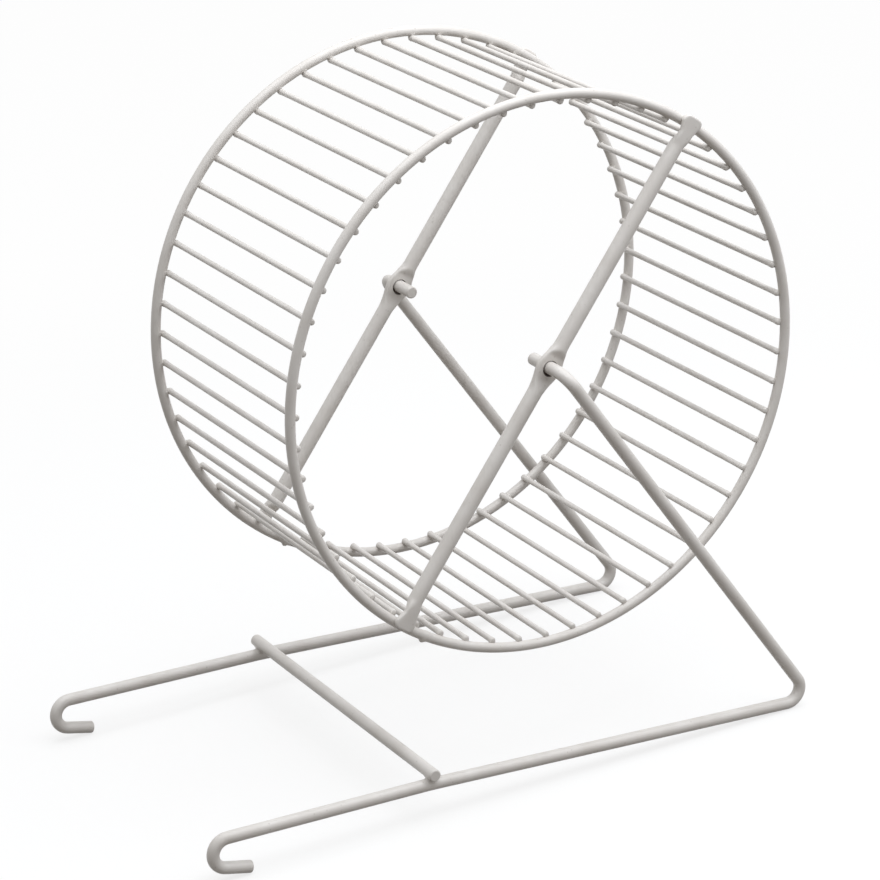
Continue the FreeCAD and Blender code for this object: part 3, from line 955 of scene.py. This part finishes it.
class SetStage(bpy.types.Operator):
    """Set the floor, the light and the camera"""
    bl_idname = "exercise_wheel.set_stage"
    bl_label = "Stage"

    def execute(self, context):
        scene = context.scene
        stage = scene.wheel_stage
        self.lay_floor(stage)
        self.hang_softbox(scene, "softbox_overhead", stage.key_place, stage.key_width, stage.key_power)
        self.hang_softbox(scene, "softbox_right", stage.side_place, stage.side_width, stage.side_power)
        self.light_sky(scene, stage)
        self.place_camera(scene, stage)
        scene.view_settings.view_transform = "Standard"
        return {"FINISHED"}

    def lay_floor(self, stage):
        """Paper on the floor, under the wires that touch it."""
        shape = bmesh.new()
        bmesh.ops.create_grid(shape, x_segments=8, y_segments=8, size=stage.floor_width / 2)
        mesh_object("paper_floor", shape, paper_material())

    def hang_softbox(self, scene, name, place, width, power):
        """Square lamp that faces the wheel's axle."""
        lamp = bpy.data.lights.new(name, "AREA")
        lamp.energy = power
        lamp.color = scene.wheel_stage.lamp_colour[:3]
        lamp.size = width
        box = bpy.data.objects.new(name, lamp)
        box.location = place
        facing = box.location - Vector(frame["joints"][0]["pos_m"])
        box.rotation_euler = facing.to_track_quat("Z", "Y").to_euler()
        scene.collection.objects.link(box)

    def light_sky(self, scene, stage):
        """Even light from all round, white where the camera sees it."""
        world = bpy.data.worlds.new("studio")
        scene.world = world
        world.use_nodes = True
        tree = world.node_tree
        tree.nodes.clear()
        fill = add_node(tree, "ShaderNodeBackground", {"Color": (1, 1, 1, 1), "Strength": stage.sky_strength})
        white = add_node(tree, "ShaderNodeBackground", {"Color": (1, 1, 1, 1), "Strength": 1.0})
        sky = add_node(tree, "ShaderNodeMixShader", {
            "Fac": seen_directly(tree), 1: fill.outputs[0], 2: white.outputs[0]})
        add_node(tree, "ShaderNodeOutputWorld", {"Surface": sky.outputs["Shader"]})

    def place_camera(self, scene, stage):
        """Camera at the photograph's viewing angle."""
        turn, rise, roll = stage.camera_azimuth, stage.camera_elevation, stage.camera_roll
        back = Vector((math.sin(turn) * math.cos(rise), -math.cos(turn) * math.cos(rise), math.sin(rise)))
        level = Vector((math.cos(turn), math.sin(turn), 0))
        upright = back.cross(level)
        right = level * math.cos(roll) + upright * math.sin(roll)
        up = upright * math.cos(roll) - level * math.sin(roll)
        lens = bpy.data.cameras.new("camera")
        lens.sensor_width = 36
        lens.lens = stage.lens
        lens.clip_start = 0.01
        camera = bpy.data.objects.new("camera", lens)
        place = Matrix((right, up, back)).transposed().to_4x4()
        place.translation = Vector(stage.camera_target) + back * stage.camera_distance
        camera.matrix_world = place
        scene.collection.objects.link(camera)
        scene.camera = camera


class WheelPanel(bpy.types.Panel):
    """Settings and steps of the exercise wheel"""
    bl_idname = "VIEW3D_PT_exercise_wheel"
    bl_label = "Exercise Wheel"
    bl_space_type = "VIEW_3D"
    bl_region_type = "UI"
    bl_category = "Exercise Wheel"

    def draw(self, context):
        for name, group in SETTINGS.items():
            column = self.layout.column(align=True)
            column.label(text=group.__doc__)
            for prop in group.__annotations__:
                column.prop(getattr(context.scene, name), prop)
        for step in STEPS:
            self.layout.operator(step.bl_idname)


SETTINGS = {
    "wheel_coat": CoatSettings,
    "wheel_bearing": BearingSettings,
    "wheel_wire": WireSettings,
    "wheel_weld": WeldSettings,
    "wheel_stage": StageSettings,
}
STEPS = (MakeRungs, MakeHoops, MakeSpokeBars, MakeStand, MakeAxleShade, MakeWelds, SetStage)


def register():
    for group in SETTINGS.values():
        bpy.utils.register_class(group)
    for step in STEPS:
        bpy.utils.register_class(step)
    bpy.utils.register_class(WheelPanel)
    for name, group in SETTINGS.items():
        setattr(bpy.types.Scene, name, bpy.props.PointerProperty(type=group))


def unregister():
    for name in SETTINGS:
        delattr(bpy.types.Scene, name)
    for group in (WheelPanel, *STEPS, *SETTINGS.values()):
        bpy.utils.unregister_class(group)


def main():
    register()
    bpy.ops.exercise_wheel.make_rungs()
    bpy.ops.exercise_wheel.make_hoops()
    bpy.ops.exercise_wheel.make_spoke_bars()
    bpy.ops.exercise_wheel.make_stand()
    bpy.ops.exercise_wheel.make_grease()
    bpy.ops.exercise_wheel.make_welds()
    bpy.ops.exercise_wheel.set_stage()


if __name__ == "__main__":
    main()
